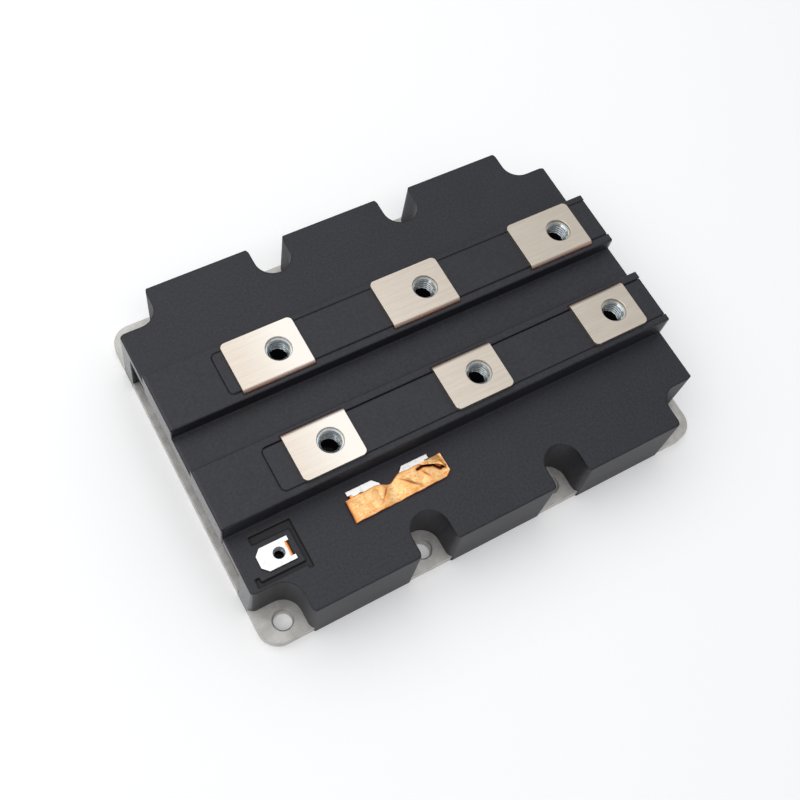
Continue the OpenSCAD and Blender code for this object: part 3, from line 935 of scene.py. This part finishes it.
@dataclass
class SignalTerminals:
    """The three small tabs and the M4 nuts under them."""

    names: tuple[str, ...] = ("collector_sense", "gate", "emitter_sense")
    folds_left: tuple[str, ...] = ("gate",)
    fold_in: float = 1.05
    across_flats: float = 7.0
    crest_r: float = 1.7
    root_r: float = 2.04
    pitch: float = 0.7
    sink_r: float = 2.25

    def build(self, cutter: ThreadCutter, zinc: bpy.types.Material) -> None:
        """Dresses the tabs and makes the nuts.

        Args:
            cutter: the tree that cuts the threads.
            zinc: the nuts' finish.
        """
        folds = []
        for name in self.names:
            low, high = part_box(f"{name}_tab")
            fold_x = low.x / MM + self.fold_in if name in self.folds_left else high.x / MM - self.fold_in
            folds.append((fold_x, (low.y + high.y) / 2 / MM))
        tin = TinPlate(tuple(folds)).material()
        dress([f"{name}_tab" for name in self.names], tin)
        for name in self.names:
            sizes = (self.across_flats, self.crest_r, self.root_r, self.pitch, self.sink_r)
            ThreadedNut(f"{name}_nut", *sizes, flats_along_x=True, segments=48).build(cutter, zinc)


def bell(distance: float, width: float) -> float:
    """A bell curve: 1 at no distance, a third at one width."""
    return math.exp(-((distance / width) ** 2))


@dataclass
class ShortingFoil:
    """Crumpled copper foil across the two driver tabs, its right end folded back over itself.

    Lengths are in millimetres: along from the left end, over from the front line, and heights
    from the tabs' upper faces.
    """

    node: str = "shorting_foil"
    finish: CreasedCopper = CreasedCopper()
    thickness: float = 0.10
    sharp_angle: float = 40.0
    # How askew the foil lies, in degrees, and how much wider that makes its box
    heading: float = 1.2
    play: float = 1.0
    steps: tuple[int, int] = (220, 56)
    flap_steps: tuple[int, int] = (48, 40)
    seed_shift: Vector = field(default_factory=lambda: Vector((3.7, 11.2, 5.1)))
    # How high the foil lies over the tabs
    rest: float = 0.16
    # Where the foil sags between the tabs, in shares of its length
    sag_place: float = 0.44
    # Depth and width of that sag, of the waist in the back edge there, and of the front's droop
    sag: tuple[float, float] = (0.55, 3.4)
    waist: tuple[float, float] = (1.7, 2.6)
    droop: tuple[float, float] = (0.35, 1.2)
    # Length and slope of the cut right front corner, and length of the part that is folded back
    corner: float = 2.6
    corner_slope: float = 0.72
    fold_back: float = 10.6
    # The flap's gap over the lower layer, its bulge, and how far its free end stands up
    flap_gap: float = 0.28
    flap_bulge: float = 0.65
    flap_rise: float = 0.95
    # How dark the rims, the creases and the tear are: painted shade along the long edges, painted shadow
    # along the tear
    rim_tint: float = 0.65
    crease_tint: float = 0.70
    tear_tint: float = 1.15
    # Creases: distance along and over of the middle, slant, height and reach across
    creases: tuple[tuple[float, float, float, float, float], ...] = (
        (24.8, 3.8, 1.09, 0.42, 3.4),
        (14.6, 5.0, -0.83, -0.12, 2.6),
        (31.0, 4.6, 0.5, 0.22, 2.0),
    )
    # Free edge of the folded flap, where it stands up over a painted shadow: distances along and over
    tear: tuple[tuple[float, float], ...] = (
        (29.1, 7.3), (31.6, 7.5), (35.0, 6.2), (36.8, 3.9), (38.8, 4.1),
    )
    origin: Vector = field(init=False)
    length: float = field(init=False)
    width: float = field(init=False)

    def __post_init__(self) -> None:
        """Reads the foil's place and size from the frame."""
        low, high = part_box(self.node)
        self.origin = Vector(low)
        self.length = (high.x - low.x) / MM
        self.width = (high.y - low.y) / MM - self.play

    def put(self, along: float, over: float, height: float) -> Vector:
        """A point of the foil in the frame, in metres."""
        turn = Matrix.Rotation(math.radians(self.heading), 3, "Z")
        return self.origin + turn @ Vector((along, over, height)) * MM

    def edges(self, along: float) -> tuple[float, float]:
        """Where the foil's front and back edges are, at a distance along.

        Args:
            along: the distance.

        Returns:
            The edges' distances over.
        """
        front = 0.16 * noise.noise(Vector((along * 0.35, 0.0, 1.5)))
        front += max(0.0, along - (self.length - self.corner)) * self.corner_slope
        back = self.width + 0.45 * noise.noise(Vector((along * 0.30, 4.0, 0.5)))
        depth, width = self.waist
        back -= depth * bell(along - self.length * self.sag_place, width)
        return front, back

    def nearby(self, along: float, over: float) -> Iterator[tuple[float, float, float]]:
        """How a point lies to each crease.

        Args:
            along: distance along.
            over: distance over.

        Yields:
            The distance from the crease, how much of it is left there, and its height.
        """
        for place, at_over, slant, height, reach in self.creases:
            yield abs((along - place) - (at_over - over) * slant), bell(over - at_over, reach), height

    def lift(self, along: float, over: float) -> float:
        """Height of the foil over the tabs' upper faces.

        Args:
            along: distance along.
            over: distance over.

        Returns:
            The height.
        """
        spot = Vector((along * 0.33, over * 0.33, 0.0)) + self.seed_shift
        crumple = 0.26 * abs(noise.noise(spot * 0.7)) + 0.05 * abs(noise.noise(spot * 2.3))
        crumple += 0.012 * noise.noise(spot * 7.0)
        depth, width = self.sag
        sag = -depth * bell(along - self.length * self.sag_place, width)
        depth, width = self.droop
        droop = -depth * bell(over, width)
        folds = sum(height * left * math.exp(-gap * 1.5) for gap, left, height in self.nearby(along, over))
        return self.rest + crumple + sag + droop + folds

    def tint(self, along: float, over: float, rim: float) -> float:
        """How dark the foil is at a point: painted shade along the long edges, a darker left end, darker
        creases and painted shadow along the tear.

        Args:
            along: distance along.
            over: distance over.
            rim: distance from the nearer long edge.

        Returns:
            0 for clean copper, 1 for the shadow under the flap.
        """
        # Painted shade along the long edges, and a darker left end
        amount = self.rim_tint * max(bell(along, 0.9), bell(rim, 0.35))
        for gap, left, _ in self.nearby(along, over):
            amount = max(amount, self.crease_tint * left * bell(gap, 0.6))
        # Painted shadow along the flap's torn edge
        here = Vector((along, over))
        for start, end in zip(self.tear, self.tear[1:]):
            a, b = Vector(start), Vector(end)
            share = min(1.0, max(0.0, (here - a).dot(b - a) / (b - a).length_squared))
            amount = max(amount, self.tear_tint * bell((here - a.lerp(b, share)).length, 0.8))
        return min(1.0, amount)

    def lower(self, share_x: float, share_y: float) -> tuple[Vector, float]:
        """A point of the lower layer.

        Args:
            share_x: 0 at the left end and 1 at the right.
            share_y: 0 at the front edge and 1 at the back.

        Returns:
            The point in the frame, and its tint.
        """
        along = share_x * (self.length - 0.2)
        front, back = self.edges(along)
        over = front + (back - front) * share_y
        spot = self.put(along + 0.5 * share_y * (1 - share_x), over, self.lift(along, over))
        return spot, self.tint(along, over, min(over - front, back - over))

    def flap(self, share_x: float, share_y: float) -> tuple[Vector, float]:
        """A point of the part that is folded back.

        Args:
            share_x: 0 at the free, torn end and 1 at the fold.
            share_y: 0 at the front and 1 at the back.

        Returns:
            The point in the frame, and its tint, which is dark at the free end.
        """
        torn = 0.35 * math.sin(share_y * 9.0) + 0.22 * noise.noise(Vector((share_y * 6.0, 2.0, 7.0)))
        left_front, left_back = self.length - self.corner, self.length - self.fold_back
        start = left_front + (left_back - left_front) * share_y**0.62 + torn
        end = self.length - 0.9 - 0.25 * share_y
        along = start + (end - start) * share_x
        front = 3.0 + 3.4 * (1 - share_x) ** 1.6
        over = front + (self.width - 0.3 - front) * share_y
        bulge = self.flap_bulge * math.sin(math.pi * min(1.0, share_x * 1.05)) * (1 - 0.5 * share_y)
        lift = self.flap_rise * (1 - share_x) ** 0.7 * (1 - share_y * 0.6)
        height = self.lift(along, over) + self.flap_gap + bulge + lift
        return self.put(along, over, height), 0.6 * bell(share_x, 0.05)

    def sheet(
        self,
        shape: bmesh.types.BMesh,
        steps: tuple[int, int],
        place: Callable[[float, float], tuple[Vector, float]],
    ) -> list[float]:
        """Adds one sheet of quads.

        Args:
            shape: where it goes.
            steps: quads along and across.
            place: a point and its tint from its shares along and across.

        Returns:
            The tint of each point that was added, in order.
        """
        columns, rows = steps
        tints = []
        grid = []
        for i in range(columns + 1):
            grid.append([])
            for j in range(rows + 1):
                spot, tint = place(i / columns, j / rows)
                grid[i].append(shape.verts.new(spot))
                tints.append(tint)
        for i in range(columns):
            for j in range(rows):
                shape.faces.new((grid[i][j], grid[i + 1][j], grid[i + 1][j + 1], grid[i][j + 1]))
        return tints

    def thicken(self, blank: bpy.types.Object) -> None:
        """Gives the sheets their thickness."""
        shell = blank.modifiers.new("thickness", "SOLIDIFY")
        shell.thickness, shell.offset = self.thickness * MM, 0.0

    def build(self) -> bpy.types.Object:
        """Makes the piece.

        Returns:
            The piece.
        """
        shape = bmesh.new()
        tints = self.sheet(shape, self.steps, self.lower) + self.sheet(shape, self.flap_steps, self.flap)
        mesh = bpy.data.meshes.new(self.node)
        shape.to_mesh(mesh)
        shape.free()
        mesh.attributes.new(SHADE_AND_CREASES, "FLOAT", "POINT").data.foreach_set("value", tints)
        mesh = baked("foil_blank", mesh, self.thicken)
        mesh.shade_smooth()
        mesh.set_sharp_from_angle(angle=math.radians(self.sharp_angle))
        return adopt("crumpled_foil", mesh, self.finish.material(), self.node)


@dataclass
class Circuit:
    """The pieces inside: substrates, chips, gate board, pins, gel and housing screws."""

    contents: tuple[tuple[Slot, tuple[str, ...]], ...] = (
        (Slot.CERAMIC, tuple(f"substrate_{i}" for i in range(1, 7))),
        (Slot.SILICON, ("igbt_chips", "diode_chips")),
        (Slot.BOARD, ("gate_board",)),
        (Slot.PINS, ("board_pins",)),
        (Slot.GEL, ("silicone_gel",)),
        (Slot.SCREWS, ("housing_screws",)),
    )

    def build(self) -> None:
        """Dresses the nodes."""
        finishes = {finish.slot: finish for finish in HIDDEN_FINISHES}
        for slot, nodes in self.contents:
            dress(nodes, finishes[slot].material())


# ---- studio ------------------------------------------------------------------------------


@dataclass(frozen=True)
class Softbox:
    """One rectangular light. Sizes and places in metres."""

    name: str
    place: tuple[float, float, float]
    target: tuple[float, float, float]
    size: tuple[float, float]
    power: float

    def build(self) -> None:
        """Makes the light."""
        lamp = bpy.data.lights.new(self.name, "AREA")
        lamp.shape = "RECTANGLE"
        lamp.size, lamp.size_y = self.size
        lamp.energy = self.power
        holder = bpy.data.objects.new(self.name, lamp)
        holder.location = self.place
        aim = Vector(self.target) - Vector(self.place)
        holder.rotation_euler = aim.to_track_quat("-Z", "Y").to_euler()
        bpy.context.scene.collection.objects.link(holder)


@dataclass
class Studio:
    """Camera, pale floor and soft light. Angles in degrees, lengths in metres."""

    stand: tuple[float, float, float] = (-0.13864, -0.14098, 0.38447)
    azimuth: float = 45.61
    dip: float = 63.44
    roll: float = 16.65
    focal: float = 48.77
    floor_colour: Colour = (0.93, 0.93, 0.93)
    floor_glow: float = 0.15
    floor_half: float = 3.0
    world_colour: Colour = (0.94, 0.96, 1.0)
    world_strength: float = 0.30
    lights: tuple[Softbox, ...] = (
        Softbox("left_softbox", (-0.60, 0.45, 1.0), (-0.60, 0.45, 0.0), (1.9, 2.2), 16.3),
        Softbox("right_softbox", (1.0, 0.45, 1.0), (1.0, 0.45, 0.0), (1.3, 2.2), 3.7),
    )

    def camera(self) -> None:
        """Places the camera at the viewing angle."""
        azimuth, dip, roll = (math.radians(a) for a in (self.azimuth, self.dip, self.roll))
        level = math.cos(dip)
        ahead = Vector((math.cos(azimuth) * level, math.sin(azimuth) * level, -math.sin(dip)))
        right = ahead.cross(Vector((0, 0, 1))).normalized()
        up = right.cross(ahead)
        side = math.cos(roll) * right + math.sin(roll) * up
        crown = math.cos(roll) * up - math.sin(roll) * right
        data = bpy.data.cameras.new("camera")
        data.sensor_width = 36.0
        data.lens = self.focal
        data.clip_start = 0.01
        camera = bpy.data.objects.new("camera", data)
        turn = Matrix((side, crown, -ahead)).transposed()
        camera.matrix_world = Matrix.Translation(self.stand) @ turn.to_4x4()
        bpy.context.scene.collection.objects.link(camera)
        bpy.context.scene.camera = camera

    def floor(self) -> None:
        """Lays a large matte floor."""
        half = self.floor_half
        corners = [(-half, -half, 0), (half, -half, 0), (half, half, 0), (-half, half, 0)]
        mesh = bpy.data.meshes.new("floor")
        mesh.from_pydata(corners, [], [(0, 1, 2, 3)])
        paint = Paint("floor")
        glow = {"Emission_Color": (1.0, 1.0, 1.0), "Emission_Strength": self.floor_glow}
        mesh.materials.append(paint.surface(self.floor_colour, 0.9, **glow))
        floor = bpy.data.objects.new("floor", mesh)
        bpy.context.scene.collection.objects.link(floor)

    def build(self) -> None:
        """Sets up the camera, the floor, the lights and the world."""
        self.camera()
        self.floor()
        for light in self.lights:
            light.build()
        scene = bpy.context.scene
        world = bpy.data.worlds.new("studio")
        world.use_nodes = True
        background = world.node_tree.nodes["Background"]
        background.inputs["Color"].default_value = (*self.world_colour, 1.0)
        background.inputs["Strength"].default_value = self.world_strength
        scene.world = world
        scene.view_settings.view_transform = "Standard"


def main() -> None:
    """Builds the studio and the sub-assemblies in order."""
    logging.basicConfig(level=logging.INFO, format="%(message)s")
    Studio().build()
    zinc = BlueZinc().material()
    cutter = ThreadCutter()
    Enclosure().build()
    PowerTerminals().build(cutter, zinc)
    SignalTerminals().build(cutter, zinc)
    ShortingFoil().build()
    Circuit().build()


if __name__ == "__main__":
    main()
